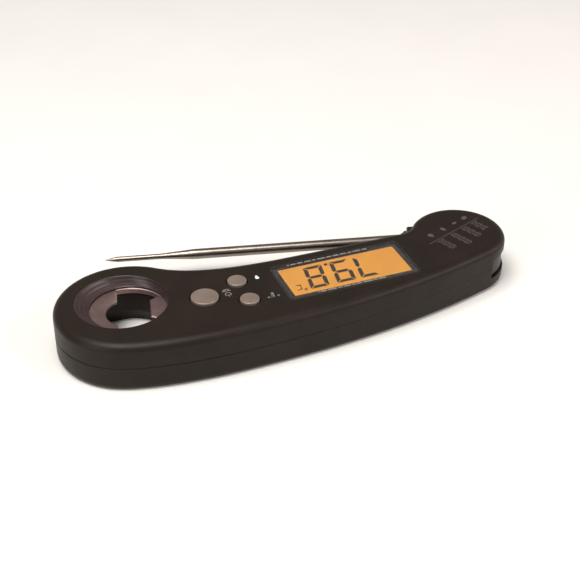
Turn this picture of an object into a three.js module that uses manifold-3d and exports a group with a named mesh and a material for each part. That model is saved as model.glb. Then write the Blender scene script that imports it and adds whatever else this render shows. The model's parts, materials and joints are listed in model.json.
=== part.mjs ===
// A folding digital meat thermometer: a curved two-shell handle with a backlit display, three keys and a
// bottle opener ring, and a stainless probe on a round hub between the two ears of the handle's knuckle.
// Millimetres, +Z up, lying on its back. The origin is on the probe's pivot axis, on the flat back face.
// +X runs along the display towards the opener ring. The probe stands part way open.
import * as THREE from "three";
import { mergeVertices } from "three/addons/utils/BufferGeometryUtils.js";
import Module from "manifold-3d";

const wasm = await Module();
wasm.setup();

// ---- Driving dimensions ----
const THICKNESS = 18;
const SPLIT = THICKNESS / 2;
const WALL = 2;
const EDGE_ROUND = 2.4;
const GAP = 0.3;

const KNUCKLE_R = 17.3;
const RING = { x: 125.8, y: 0.9, r: 25.2 };
const OPENER = { x: 125.4, y: -0.45, r: 13, turn: -13.5, plateR: 15.2, z0: 12.1, z1: 14.3 };
const DISH = { x: 127.3, y: -0.9, r: 15.8, floor: 15 };
const TOP_APEX = { x: 95, y: 29.8 };
const LOWER_EDGE = { y: -7.4, x1: 62, drop: 0.5 };
const FILLET_R = 8.9;

const HUB = { r: 16.6, z0: 5.3, z1: 12.7, bore: 2.15, sealR: 8 };
const POCKET = { r: 17.05, z0: 5, z1: 13, sweepFrom: 111, sweepTo: 330.5, sweepR: 26 };
const PIN = { r: 2, z0: 2.4, z1: 13.9 };
const PROBE = { offset: -10.8, root: 3, exit: 16.2, tip: 129.5, r: 1.9, tipR: 1 };
const WAKE_MAGNET = { x: 11.4, y: 5.1, r: 2 };
const PROBE_REST_DEG = -14.1;
const PROBE_FOLDED_DEG = -3.7;

const DISPLAY = { x0: 27.1, x1: 71.4, y0: 0.35, y1: 17.25 };
const WINDOW_MARGIN = 2.3;
const LCD_MARGIN = 1.3;
const LCD_Z = { z0: 13.7, z1: 15.9, top: 16.85 };
const GUIDE_Z = { z0: 12, z1: 13.6 };
const BOARD_Z = { z0: 10.1, z1: 11.3 };

const KEYS = [
  { name: "power_key", x: 100.6, y: 7.5, r: 5 },
  { name: "unit_key", x: 86.8, y: 14.2, r: 3.55 },
  { name: "light_key", x: 87.1, y: 2.2, r: 3.55 },
];
const KEY_PROUD = 0.7;
const KEY_FLANGE = { z0: 14.9, z1: 15.8, over: 1 };
const SWITCH_TOP = 12.7;
const MEMBRANE = { z0: 12.75, z1: 13.4, domeTop: 14.05 };

const CELL = { x: 56, y: 10.3, r: 10, z0: 3.5, z1: 6.7 };
const DOOR = { r: 12.8, z0: 0.4, z1: 2.4, hole: 13.1, tabR: 14.8, tabHalfDeg: 11, turnDeg: 30 };
const LEDGE = { inner: 12.6, outer: 16.6, underside: 3.6, top: 4.8 };
const MAGNETS = [{ x: 33, y: 9.5 }, { x: 92, y: 8.5 }];
const MAGNET = { r: 5, height: 2.2 };
const CASE_SCREWS = [
  { x: 19.5, y: 17.5 },
  { x: 20.9, y: -4.1 },
  { x: 80.5, y: 24.4 },
  { x: 80.5, y: -5.4 },
  { x: 140.5, y: 14.7 },
  { x: 140.5, y: -13.3 },
];
const SCREW = { headR: 2, headZ0: 0.7, headZ1: 2.1, shankR: 1, end: 13.5 };
const BOSS_R = 2.6;
const BOARD_SCREWS = [{ x: 79, y: 18.4 }, { x: 79, y: 0.4 }, { x: 104.6, y: 17.2 }];

const rad = THREE.MathUtils.degToRad;

// ---- Materials ----
const finish = (color, roughness, metalness = 0, extra = {}) =>
  new THREE.MeshStandardMaterial({ color, roughness, metalness, ...extra });
const MATERIAL = {
  shell: finish(0x26211f, 0.45),
  hub: finish(0x2a2422, 0.5),
  opener: finish(0x4b3a3e, 0.4, 0.7),
  key: finish(0x8d8682, 0.45, 0.2),
  window: finish(0xf2efe6, 0.05, 0, { transparent: true, opacity: 0.3 }),
  lcd: finish(0xe0a040, 0.3),
  guide: finish(0xf4d9a0, 0.4),
  frame: finish(0xe8e6e0, 0.6),
  rubber: finish(0x3a3a3a, 0.8),
  membrane: finish(0x6c6a68, 0.8),
  board: finish(0x1f5a35, 0.5),
  chip: finish(0x151515, 0.5),
  led: finish(0xf7f2d8, 0.3),
  steel: finish(0xc9c8c4, 0.25, 1),
  magnet: finish(0xb4b3b0, 0.3, 1),
  brass: finish(0xc9a45a, 0.35, 1),
  wire: finish(0xb03328, 0.6),
};

// ---- Solids: geometry in, manifold solid out ----
function solid(geometry, matrix) {
  const g = geometry.clone();
  if (matrix) g.applyMatrix4(matrix);
  g.deleteAttribute("normal");
  g.deleteAttribute("uv");
  const merged = mergeVertices(g, 1e-4);
  return new wasm.Manifold(
    new wasm.Mesh({
      numProp: 3,
      vertProperties: new Float32Array(merged.attributes.position.array),
      triVerts: new Uint32Array(merged.index.array),
    }),
  );
}

function geometryOf(manifold) {
  const mesh = manifold.getMesh();
  const positions = new Float32Array(mesh.numVert * 3);
  for (let i = 0; i < mesh.numVert; i++) {
    positions.set(mesh.vertProperties.subarray(i * mesh.numProp, i * mesh.numProp + 3), i * 3);
  }
  const geometry = new THREE.BufferGeometry();
  geometry.setAttribute("position", new THREE.BufferAttribute(positions, 3));
  geometry.setIndex(new THREE.BufferAttribute(mesh.triVerts, 1));
  geometry.computeVertexNormals();
  return geometry;
}

const move = (x, y, z) => new THREE.Matrix4().makeTranslation(x, y, z);
const turnZ = (degrees) => new THREE.Matrix4().makeRotationZ(rad(degrees));

function prism(points, z0, z1, holes = []) {
  const shape = new THREE.Shape(points);
  shape.holes = holes.map((hole) => new THREE.Path(hole));
  const settings = { depth: z1 - z0, bevelEnabled: false, curveSegments: 1 };
  const geometry = new THREE.ExtrudeGeometry(shape, settings);
  return solid(geometry, move(0, 0, z0));
}

function disc(x, y, r, z0, z1, segments = 24, topR = r) {
  const geometry = new THREE.CylinderGeometry(topR, r, z1 - z0, segments);
  return solid(geometry, move(x, y, (z0 + z1) / 2).multiply(new THREE.Matrix4().makeRotationX(Math.PI / 2)));
}

function block(x0, x1, y0, y1, z0, z1) {
  const centre = move((x0 + x1) / 2, (y0 + y1) / 2, (z0 + z1) / 2);
  return solid(new THREE.BoxGeometry(x1 - x0, y1 - y0, z1 - z0), centre);
}

// A solid of revolution about X: profile points are (x along the axis, radius).
function turned(profile, segments = 16) {
  const points = profile.map(([along, r]) => new THREE.Vector2(r, along));
  const geometry = new THREE.LatheGeometry(points, segments);
  return solid(geometry, new THREE.Matrix4().makeRotationZ(-Math.PI / 2));
}

const union = (solids) => solids.reduce((a, b) => a.add(b));

// ---- Outlines, as lists of points ----
const v2 = (x, y) => new THREE.Vector2(x, y);

function arc(cx, cy, r, from, to, n) {
  return new THREE.EllipseCurve(cx, cy, r, r, rad(from), rad(to), to < from).getPoints(n);
}

function bezier(p0, c1, c2, p3, n) {
  return new THREE.CubicBezierCurve(v2(...p0), v2(...c1), v2(...c2), v2(...p3)).getPoints(n);
}

function withoutRepeats(points) {
  return points.filter((p, i) => p.distanceTo(points[(i + 1) % points.length]) > 1e-3);
}

function roundedRectangle(x0, x1, y0, y1, r, n = 4) {
  return withoutRepeats([
    ...arc(x1 - r, y0 + r, r, -90, 0, n),
    ...arc(x1 - r, y1 - r, r, 0, 90, n),
    ...arc(x0 + r, y1 - r, r, 90, 180, n),
    ...arc(x0 + r, y0 + r, r, 180, 270, n),
  ]);
}

// The long upper edge leaves the knuckle at 107 degrees, peaks at TOP_APEX and joins the ring at 62 degrees.
const KNUCKLE_LEAVE = 107;
const RING_JOIN = 62;
const RING_LEAVE = -130;
const onCircle = (c, r, degrees) => [c.x + r * Math.cos(rad(degrees)), c.y + r * Math.sin(rad(degrees))];
const PIVOT = { x: 0, y: 0 };

function upperEdge(nRise, nFall) {
  const start = onCircle(PIVOT, KNUCKLE_R, KNUCKLE_LEAVE);
  const end = onCircle(RING, RING.r, RING_JOIN);
  const apex = [TOP_APEX.x, TOP_APEX.y];
  const rise = bezier(start, [start[0] + 31.5, start[1] + 9.6], [apex[0] - 38, apex[1]], apex, nRise);
  const fall = bezier(apex, [apex[0] + 15, apex[1]], [end[0] - 8.8, end[1] + 4.7], end, nFall);
  return [...rise, ...fall];
}

function lowerEdge(n) {
  const start = onCircle(RING, RING.r, RING_LEAVE);
  const end = [LOWER_EDGE.x1, LOWER_EDGE.y - LOWER_EDGE.drop];
  return bezier(start, [start[0] - 10.7, start[1] + 9], [end[0] + 18, end[1] - 0.3], end, n);
}

// A fillet tangent to the knuckle's circle and to the straight lower edge.
const FILLET_Y = LOWER_EDGE.y - FILLET_R;
const FILLET = { x: Math.sqrt((KNUCKLE_R + FILLET_R) ** 2 - FILLET_Y ** 2), y: FILLET_Y };
const FILLET_DEG = THREE.MathUtils.radToDeg(Math.atan2(FILLET.y, FILLET.x));

function handleOutline() {
  const points = [
    ...upperEdge(9, 5),
    ...arc(RING.x, RING.y, RING.r, RING_JOIN, RING_LEAVE, 26),
    ...lowerEdge(7),
    ...arc(FILLET.x, FILLET.y, FILLET_R, 90, FILLET_DEG + 180, 4),
    ...arc(0, 0, KNUCKLE_R, FILLET_DEG, KNUCKLE_LEAVE - 360, 28),
  ];
  return withoutRepeats(points).reverse();
}

// The handle's outline moved inwards by a distance.
function insetOutline(distance) {
  const points = handleOutline();
  const n = points.length;
  return points.map((p, i) => {
    const along = points[(i + 1) % n].clone().sub(points[(i + n - 1) % n]).normalize();
    return v2(p.x - along.y * distance, p.y + along.x * distance);
  });
}

// ---- Group and node helper ----
const thermometer = new THREE.Group();
const probeArm = new THREE.Group();
probeArm.rotation.z = rad(PROBE_REST_DEG);
thermometer.add(probeArm);

function addPart(name, manifold, material, parent = thermometer) {
  const mesh = new THREE.Mesh(geometryOf(manifold), material);
  mesh.name = name;
  parent.add(mesh);
}

// ---- Shells ----
function roundedBody() {
  const geometry = new THREE.ExtrudeGeometry(new THREE.Shape(handleOutline()), {
    depth: THICKNESS - 2 * EDGE_ROUND,
    bevelEnabled: true,
    bevelThickness: EDGE_ROUND,
    bevelSize: EDGE_ROUND,
    bevelOffset: -EDGE_ROUND,
    bevelSegments: 2,
    curveSegments: 1,
  });
  return solid(geometry, move(0, 0, EDGE_ROUND));
}

// A cone whose two end circles have different centres.
function slantedCone(low, lowR, z0, high, highR, z1) {
  const geometry = new THREE.CylinderGeometry(1, 1, 1, 40);
  geometry.rotateX(Math.PI / 2);
  const p = geometry.attributes.position;
  for (let i = 0; i < p.count; i++) {
    const upper = p.getZ(i) > 0;
    const c = upper ? high : low;
    const r = upper ? highR : lowR;
    p.setXYZ(i, c.x + p.getX(i) * r, c.y + p.getY(i) * r, upper ? z1 : z0);
  }
  return solid(geometry);
}

// Room for the hub, open round the outside of the knuckle where the hub's shoulder sweeps.
function hubPocket() {
  const sweep = [v2(0, 0), ...arc(0, 0, POCKET.sweepR, POCKET.sweepFrom, POCKET.sweepTo, 24)];
  return union([
    disc(0, 0, POCKET.r, POCKET.z0, POCKET.z1, 64),
    prism(sweep, POCKET.z0, POCKET.z1),
  ]);
}

// The slot in the ring's rim that takes the tip of the folded probe.
function tipSlot() {
  const half = PROBE.r;
  const high = half + GAP / 2;
  const slot = block(99, PROBE.tip + 3, -40, PROBE.offset + half, SPLIT - high, SPLIT + high);
  return slot.rotate([0, 0, PROBE_FOLDED_DEG]);
}

// The hole through the ring, with a sunk surround off centre at the front and a chamfer at the back.
function openerHole() {
  const through = disc(OPENER.x, OPENER.y, OPENER.r + 0.25, -1, THICKNESS + 1, 40);
  const frontDish = slantedCone(OPENER, OPENER.r + 0.25, DISH.floor, DISH, DISH.r, THICKNESS + 0.01);
  const backDish = slantedCone(OPENER, OPENER.r + 2, -0.01, OPENER, OPENER.r + 0.25, 5);
  return union([through, frontDish, backDish]);
}

// The opener plate drops into this seat from behind, and the back shell's collar holds it up.
const plateSeat = () => disc(OPENER.x, OPENER.y, OPENER.plateR + GAP, SPLIT - 1, OPENER.z1 + GAP, 40);
const plateCollar = () => disc(OPENER.x, OPENER.y, OPENER.plateR, SPLIT - 1, OPENER.z0 - GAP, 40);

// The sealed room for the electronics, between the hub's pocket and the opener ring.
function compartment(z0, z1, grow = 0) {
  const room = prism(insetOutline(WALL + 0.2 - grow), z0, z1);
  const aroundHub = disc(0, 0, POCKET.r + 2.5 - grow, z0 - 1, z1 + 1, 64);
  const tipWall = block(60, 140, -40, PROBE.offset + PROBE.r + 2.4 - grow, z0 - 1, z1 + 1)
    .rotate([0, 0, PROBE_FOLDED_DEG]);
  return room.intersect(block(15 - grow, 107.2 + grow, -60, 60, z0, z1)).subtract(aroundHub.add(tipWall));
}

// The display's outline grown by a margin, with rounded corners.
const aroundDisplay = (m, r) =>
  roundedRectangle(DISPLAY.x0 - m, DISPLAY.x1 + m, DISPLAY.y0 - m, DISPLAY.y1 + m, r);

const SEAL_INSET = 1.1;
const gasketRing = (z0, z1, half) =>
  compartment(z0, z1, SEAL_INSET + half).subtract(compartment(z0 - 1, z1 + 1, SEAL_INSET - half));

const pinHoles = () => disc(0, 0, PIN.r + 0.12, PIN.z0 - 0.2, PIN.z1 + 0.4, 24);
const leadChannel = () => block(-0.8, 21, -0.8, 0.8, POCKET.z1 - 0.1, 15.9);

function frontShell(body) {
  const half = body.intersect(block(-40, 170, -60, 60, SPLIT, THICKNESS + 1));
  const ceiling = THICKNESS - WALL;
  let shell = half.subtract(compartment(SPLIT - 1, ceiling));
  const posts = [
    ...CASE_SCREWS.slice(0, 4).map((s) => disc(s.x, s.y, BOSS_R, SPLIT, ceiling + 0.5, 14)),
    ...BOARD_SCREWS.map((s) => disc(s.x, s.y, 2.3, BOARD_Z.z1 + 0.05, ceiling + 0.5, 14)),
  ];
  shell = shell.add(union(posts).intersect(half));
  const pilots = [...CASE_SCREWS, ...BOARD_SCREWS]
    .map((s) => disc(s.x, s.y, SCREW.shankR + GAP, SPLIT - 1, 14.2, 12));
  const windowSeat = prism(aroundDisplay(WINDOW_MARGIN + 0.25, 2), THICKNESS - 1.1, THICKNESS + 1);
  const opening = prism(aroundDisplay(0.4, 1), ceiling - 1, THICKNESS);
  const keyHoles = KEYS.map((k) => disc(k.x, k.y, k.r + 0.15, ceiling - 1, THICKNESS + 1, 32));
  return shell.subtract(union([
    ...pilots, windowSeat, opening, ...keyHoles, hubPocket(), tipSlot(), openerHole(), plateSeat(),
    pinHoles(), leadChannel(), gasketRing(SPLIT - 1, SPLIT + 0.7, 0.65),
  ]));
}

function doorTabs(halfDeg, r, z0, z1, turn) {
  const inner = DOOR.r - 3;
  return [0, 180].map((at) => {
    const points = [
      ...arc(0, 0, inner, at + turn - halfDeg, at + turn + halfDeg, 3),
      ...arc(0, 0, r, at + turn + halfDeg, at + turn - halfDeg, 3),
    ];
    return prism(withoutRepeats(points).reverse(), z0, z1).translate([CELL.x, CELL.y, 0]);
  });
}

// The door's tabs turn between the back wall and this ledge, which also closes off their notches.
const doorLedge = () =>
  disc(CELL.x, CELL.y, LEDGE.outer, WALL - 0.5, LEDGE.top, 48)
    .subtract(disc(CELL.x, CELL.y, LEDGE.inner, 0, LEDGE.top + 1, 48));
const tabChannel = () =>
  disc(CELL.x, CELL.y, DOOR.tabR + GAP, WALL, LEDGE.underside, 48)
    .intersect(compartment(WALL, LEDGE.underside));

function backShell(body) {
  const half = body.intersect(block(-40, 170, -60, 60, -1, SPLIT - 0.05));
  let shell = half.subtract(compartment(WALL, SPLIT + 1));
  const bosses = [
    ...CASE_SCREWS.slice(0, 4).map((s) => disc(s.x, s.y, BOSS_R, WALL - 0.5, SPLIT - 0.05, 14)),
    ...MAGNETS.map((m) => disc(m.x, m.y, MAGNET.r + 1.9, WALL - 0.5, 3.8, 28)),
  ];
  shell = shell.add(union([...bosses, doorLedge()]).intersect(half)).add(plateCollar());
  const screwHoles = CASE_SCREWS.flatMap((s) => [
    disc(s.x, s.y, SCREW.shankR + GAP, -1, SPLIT + 1, 12),
    disc(s.x, s.y, SCREW.headR + GAP, -1, SCREW.headZ1 + 0.1, 16),
  ]);
  const magnetSeats = MAGNETS.map((m) => disc(m.x, m.y, MAGNET.r + GAP, -1, MAGNET.height + 0.2, 28));
  const doorHole = disc(CELL.x, CELL.y, DOOR.hole, -1, WALL + 1, 48);
  const notches = doorTabs(DOOR.tabHalfDeg + 2, DOOR.tabR + GAP, -1, WALL + 1, -DOOR.turnDeg);
  return shell.subtract(union([
    ...screwHoles, ...magnetSeats, doorHole, ...notches, tabChannel(),
    hubPocket(), tipSlot(), openerHole(), pinHoles(), gasketRing(SPLIT - 0.7, SPLIT + 1, 0.65),
  ]));
}

// ---- Bottle opener plate: a ring with a tooth on one side and a notched lip on the other ----
function openerPlate() {
  const toothFace = -7.5;
  const lipFace = 3.65;
  const biteR = 7.8;
  const { z0, z1, plateR } = OPENER;
  const ring = disc(0, 0, plateR, z0, z1, 48).subtract(disc(0, 0, OPENER.r, z0 - 1, z1 + 1, 48));
  const toothOutline = [
    v2(-13.2, -6.8), v2(-10.5, -6.8), v2(toothFace, -5), v2(toothFace, 5), v2(-10.5, 6.8), v2(-13.2, 6.8),
  ];
  const tooth = prism(toothOutline, z0, z1);
  const lip = disc(0, 0, OPENER.r + 0.5, z0, z1, 48)
    .intersect(block(lipFace, 14, -14, 14, z0, z1))
    .subtract(disc(0, 0, biteR, z0 - 1, z1 + 1, 40));
  return union([ring, tooth, lip]).rotate([0, 0, OPENER.turn]).translate([OPENER.x, OPENER.y, 0]);
}

// ---- Display stack ----
function displaySlab(margin, z0, z1, r) {
  const d = DISPLAY;
  return prism(roundedRectangle(d.x0 - margin, d.x1 + margin, d.y0 - margin, d.y1 + margin, r), z0, z1);
}

// The glass: a back plate that reaches under the case, and a front plate that stands up into its opening.
function lcdPanel() {
  const backPlate = displaySlab(LCD_MARGIN, LCD_Z.z0, LCD_Z.z1, 0.4);
  const frontPlate = displaySlab(0.15, LCD_Z.z1 - 0.1, LCD_Z.top, 0.3);
  return backPlate.add(frontPlate);
}

function lcdFrame() {
  const outer = displaySlab(2.8, BOARD_Z.z1 + 0.05, THICKNESS - WALL - 0.05, 1);
  return outer.subtract(displaySlab(LCD_MARGIN + 0.2, BOARD_Z.z1 - 1, THICKNESS, 0.5));
}

function lightGuide() {
  const edge = 1;
  const { x0, x1, y0, y1 } = DISPLAY;
  return block(x0 + 1.3, x1 + edge, y0 + 0.8, y1 - 0.8, GUIDE_Z.z0, GUIDE_Z.z1);
}

function zebraStrip(side) {
  const y = side < 0 ? DISPLAY.y0 - 0.35 : DISPLAY.y1 + 0.35;
  return block(DISPLAY.x0 + 2, DISPLAY.x1 - 2, y - 0.6, y + 0.6, BOARD_Z.z1 + 0.05, LCD_Z.z0 - 0.05);
}

// ---- Circuit board and what stands on it ----
function mainBoard() {
  const outline = [
    v2(26.5, -2.3), v2(107, -2.3), v2(107, 20.6), v2(78, 21), v2(24, 21), v2(23, 14.2), v2(20.8, 13),
    v2(20.8, 3.2), v2(23, 1.6),
  ];
  const holes = BOARD_SCREWS.map((s) =>
    disc(s.x, s.y, SCREW.shankR + GAP, BOARD_Z.z0 - 1, BOARD_Z.z1 + 1, 12));
  const nearRing = disc(DISH.x, DISH.y, DISH.r + 4, BOARD_Z.z0 - 1, BOARD_Z.z1 + 1, 40);
  return prism(outline, BOARD_Z.z0, BOARD_Z.z1).subtract(union([...holes, nearRing]));
}

const controllerChip = () => block(88, 96, 8, 16, BOARD_Z.z0 - 1.2, BOARD_Z.z0 - 0.05);
const backlightLed = (y) => block(25.9, 28.1, y - 1.4, y + 1.4, BOARD_Z.z1 + 0.05, 13.4);
const wakeSwitch = () =>
  turned([[-4.5, 0], [-4.5, 0.5], [-3.6, 0.95], [3.6, 0.95], [4.5, 0.5], [4.5, 0]], 12)
    .rotate([0, 0, 90]).translate([22.2, 9, 12.4]);

function domeSwitch(key) {
  const base = block(key.x - 2.2, key.x + 2.2, key.y - 2.2, key.y + 2.2, BOARD_Z.z1 + 0.05, 12.3);
  return base.add(disc(key.x, key.y, 1.3, 12, SWITCH_TOP, 16));
}

// ---- Keys ----
function keyMembrane() {
  const outline = roundedRectangle(82.3, 106.8, -2.6, 18.9, 3);
  const sheet = prism(outline, MEMBRANE.z0, MEMBRANE.z1).subtract(union([
    disc(104.6, 17.2, 2.8, MEMBRANE.z0 - 1, MEMBRANE.z1 + 1, 20),
    disc(DISH.x, DISH.y, DISH.r + 4, MEMBRANE.z0 - 1, MEMBRANE.z1 + 1, 40),
  ]));
  const dome = (k) => disc(k.x, k.y, k.r * 0.62, MEMBRANE.z1 - 0.2, MEMBRANE.domeTop, 20, k.r * 0.5);
  return union([sheet, ...KEYS.map(dome)]);
}

function keyCap(key) {
  const top = THICKNESS + KEY_PROUD;
  return union([
    disc(key.x, key.y, key.r - 0.15, KEY_FLANGE.z1 - 0.2, top - 0.3, 32),
    disc(key.x, key.y, key.r - 0.15, top - 0.3, top, 32, key.r - 0.6),
    disc(key.x, key.y, key.r + KEY_FLANGE.over, KEY_FLANGE.z0, KEY_FLANGE.z1, 32),
  ]);
}

// ---- Battery compartment ----
function batteryDoor() {
  const plate = disc(CELL.x, CELL.y, DOOR.r, DOOR.z0, DOOR.z1, 48);
  const sealGroove = disc(CELL.x, CELL.y, DOOR.r + 1, 0.95, 1.95, 48)
    .subtract(disc(CELL.x, CELL.y, 11.7, 0, 3, 48));
  const pusher = disc(CELL.x, CELL.y, 9, DOOR.z1 - 0.1, 3.3, 32);
  const slot = block(CELL.x - 8, CELL.x + 8, CELL.y - 1, CELL.y + 1, DOOR.z0 - 1, DOOR.z0 + 0.9);
  const tabs = doorTabs(DOOR.tabHalfDeg, DOOR.tabR, DOOR.z1 - 0.15, 3.3, 0);
  return union([plate.subtract(sealGroove), pusher, ...tabs]).subtract(slot);
}

function ringSeal(x, y, r, wireR, z, segments = 36) {
  return solid(new THREE.TorusGeometry(r, wireR, 6, segments), move(x, y, z));
}

function batteryHolder() {
  const top = BOARD_Z.z0 - 0.05;
  const wall = disc(CELL.x, CELL.y, 12.3, 3.6, top, 40).subtract(disc(CELL.x, CELL.y, 10.75, 3, 8.6, 40));
  return wall.subtract(union([
    block(CELL.x + 9.8, CELL.x + 10.9, CELL.y - 3, CELL.y + 3, 8, top + 1),
    block(CELL.x - 8.3, CELL.x - 7.2, CELL.y - 3, CELL.y + 3, 8, top + 1),
  ]));
}

const positiveContact = () =>
  block(CELL.x + 10.15, CELL.x + 10.4, CELL.y - 1.9, CELL.y + 1.9, 3.8, BOARD_Z.z0 - 0.03);

function negativeContact() {
  const width = 5;
  const profile = [
    [-7.9, 10], [-7.9, 7.9], [5, 6.85], [7, 7.6], [7, 7.9], [5, 7.15], [-7.6, 8.2], [-7.6, 10],
  ];
  const shape = new THREE.Shape(profile.map(([x, z]) => v2(x, z)));
  const leaf = new THREE.ExtrudeGeometry(shape, { depth: width, bevelEnabled: false });
  leaf.rotateX(Math.PI / 2);
  return solid(leaf, move(CELL.x, CELL.y + width / 2, 0));
}

// ---- Screws ----
function screw(x, y, headZ0, headZ1, end) {
  const drive = 0.55;
  const cross = (degrees) =>
    block(-1.2, 1.2, -0.25, 0.25, headZ0 - 1, headZ0 + drive).rotate([0, 0, degrees]).translate([x, y, 0]);
  return union([
    disc(x, y, SCREW.headR, headZ0, headZ1, 14),
    disc(x, y, SCREW.shankR, headZ1 - 0.1, end - 1.2, 10),
    disc(x, y, SCREW.shankR, end - 1.2, end, 10, 0.2),
  ]).subtract(union([cross(0), cross(90)]));
}

// ---- Probe arm, in its own frame: X along the probe, the pivot at the origin ----
function probeHub() {
  const { r, z0, z1, bore, sealR } = HUB;
  const soft = 0.8;
  const body = union([
    disc(0, 0, r - soft, z0, z0 + soft, 56, r),
    disc(0, 0, r, z0 + soft, z1 - soft, 56),
    disc(0, 0, r, z1 - soft, z1, 56, r - soft),
  ]);
  const shoulderOutline = [
    v2(4, -8.3), v2(4, -14.1), v2(PROBE.exit, -14.1), v2(PROBE.exit, -8.9), v2(15.6, -8.3),
  ];
  const shoulder = prism(shoulderOutline, z0, z1);
  const bored = [[PROBE.root - 1, 0], [PROBE.root - 1, 2.2], [PROBE.exit + 1, 2.2], [PROBE.exit + 1, 0]];
  const probeBore = turned(bored, 20).translate([0, PROBE.offset, SPLIT]);
  const washerSeats = [disc(0, 0, 6.4, z0 - 1, z0 + 0.9, 32), disc(0, 0, 6.4, z1 - 0.9, z1 + 1, 32)];
  const magnetSeat = disc(WAKE_MAGNET.x, WAKE_MAGNET.y, WAKE_MAGNET.r + GAP, 10.2, z1 + 1, 16);
  const sealGroove = (low) =>
    disc(0, 0, sealR + 0.7, low, low + 2, 32).subtract(disc(0, 0, sealR - 0.7, low - 1, low + 3, 32));
  const leadWay = block(-0.8, 0.8, PROBE.offset - 0.8, 0.8, SPLIT - 0.8, SPLIT + 0.8)
    .add(block(-0.8, PROBE.root, PROBE.offset - 0.8, PROBE.offset + 0.8, SPLIT - 0.8, SPLIT + 0.8));
  return union([body, shoulder]).subtract(union([
    disc(0, 0, bore, z0 - 1, z1 + 1, 24), probeBore, ...washerSeats, magnetSeat, leadWay,
    sealGroove(z0 - 1.2), sealGroove(z1 - 0.8),
  ]));
}

function probeTube() {
  const { root, tip, r, tipR } = PROBE;
  const taperStart = 96;
  const taperEnd = 110;
  const bore = 1.1;
  const tipBore = 0.62;
  return turned([
    [root, bore], [root, r], [taperStart, r], [taperEnd, tipR], [tip - 5, tipR], [tip, 0.12], [tip, 0],
    [tip - 6, 0], [tip - 6, tipBore], [taperEnd - 1, tipBore], [taperStart, bore], [root, bore],
  ], 20).translate([0, PROBE.offset, SPLIT]);
}

const probeSeal = () =>
  solid(new THREE.TorusGeometry(2.75, 0.45, 6, 16), new THREE.Matrix4().makeRotationY(Math.PI / 2))
    .translate([PROBE.exit + 0.75, PROBE.offset, SPLIT]);

const thermistor = () =>
  turned([[PROBE.tip - 9, 0], [PROBE.tip - 8.7, 0.4], [PROBE.tip - 7, 0.4], [PROBE.tip - 6.6, 0]], 10)
    .translate([0, PROBE.offset, SPLIT]);

const sensorLead = () =>
  turned([[PROBE.root + 0.5, 0], [PROBE.root + 0.5, 0.32], [PROBE.tip - 9.3, 0.32], [PROBE.tip - 9.3, 0]], 8)
    .translate([0, PROBE.offset, SPLIT]);

function thrustWasher(z0, z1) {
  return disc(0, 0, 6, z0, z1, 32).subtract(disc(0, 0, 2.4, z0 - 1, z1 + 1, 24));
}

function pivotPin() {
  const bore = disc(0, 0, 1.1, 7, PIN.z1 + 1, 16);
  const leadSlot = block(-0.9, 0.9, -3, 0, 7, 10.5);
  return disc(0, 0, PIN.r, PIN.z0, PIN.z1, 24).subtract(bore.add(leadSlot));
}

// The flexible lead turns on the hollow pin's axis and runs through the front ear to the board.
function hingeLead() {
  const route = new THREE.CatmullRomCurve3([
    new THREE.Vector3(0, 0, 8.5),
    new THREE.Vector3(0, 0, 12.5),
    new THREE.Vector3(0.3, 0, 14.2),
    new THREE.Vector3(2, 0, 15),
    new THREE.Vector3(5, 0, 15),
    new THREE.Vector3(19, 0, 15),
    new THREE.Vector3(21.6, 1.4, 14.4),
    new THREE.Vector3(22.6, 3.3, 13),
    new THREE.Vector3(22.6, 3.5, BOARD_Z.z1 + 0.5),
  ]);
  const section = new THREE.Shape(arc(0, 0, 0.5, 0, 360, 8).slice(0, 8));
  const settings = { steps: 26, bevelEnabled: false, extrudePath: route, curveSegments: 1 };
  return solid(new THREE.ExtrudeGeometry(section, settings));
}

// ---- Assembly ----
const body = roundedBody();
addPart("front_shell", frontShell(body), MATERIAL.shell);
addPart("back_shell", backShell(body), MATERIAL.shell);
addPart("case_gasket", gasketRing(SPLIT - 0.5, SPLIT + 0.5, 0.45), MATERIAL.rubber);
addPart("opener_plate", openerPlate(), MATERIAL.opener);

const windowPane = displaySlab(WINDOW_MARGIN, THICKNESS - 1.05, THICKNESS - 0.05, 1.8);
addPart("display_window", windowPane, MATERIAL.window);
addPart("lcd_panel", lcdPanel(), MATERIAL.lcd);
addPart("lcd_frame", lcdFrame(), MATERIAL.frame);
addPart("light_guide", lightGuide(), MATERIAL.guide);
addPart("zebra_strip_lower", zebraStrip(-1), MATERIAL.rubber);
addPart("zebra_strip_upper", zebraStrip(1), MATERIAL.rubber);

addPart("main_board", mainBoard(), MATERIAL.board);
addPart("controller_chip", controllerChip(), MATERIAL.chip);
addPart("backlight_led_1", backlightLed(5), MATERIAL.led);
addPart("backlight_led_2", backlightLed(12.6), MATERIAL.led);
addPart("wake_switch", wakeSwitch(), MATERIAL.steel);

addPart("key_membrane", keyMembrane(), MATERIAL.membrane);
for (const key of KEYS) {
  addPart(key.name, keyCap(key), MATERIAL.key);
  addPart(key.name.replace("key", "switch"), domeSwitch(key), MATERIAL.steel);
}

addPart("battery_door", batteryDoor(), MATERIAL.shell);
addPart("door_seal", ringSeal(CELL.x, CELL.y, 12.4, 0.42, 1.45), MATERIAL.rubber);
addPart("coin_cell", disc(CELL.x, CELL.y, CELL.r, CELL.z0, CELL.z1, 40), MATERIAL.steel);
addPart("battery_holder", batteryHolder(), MATERIAL.chip);
addPart("positive_contact", positiveContact(), MATERIAL.brass);
addPart("negative_contact", negativeContact(), MATERIAL.brass);

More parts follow.
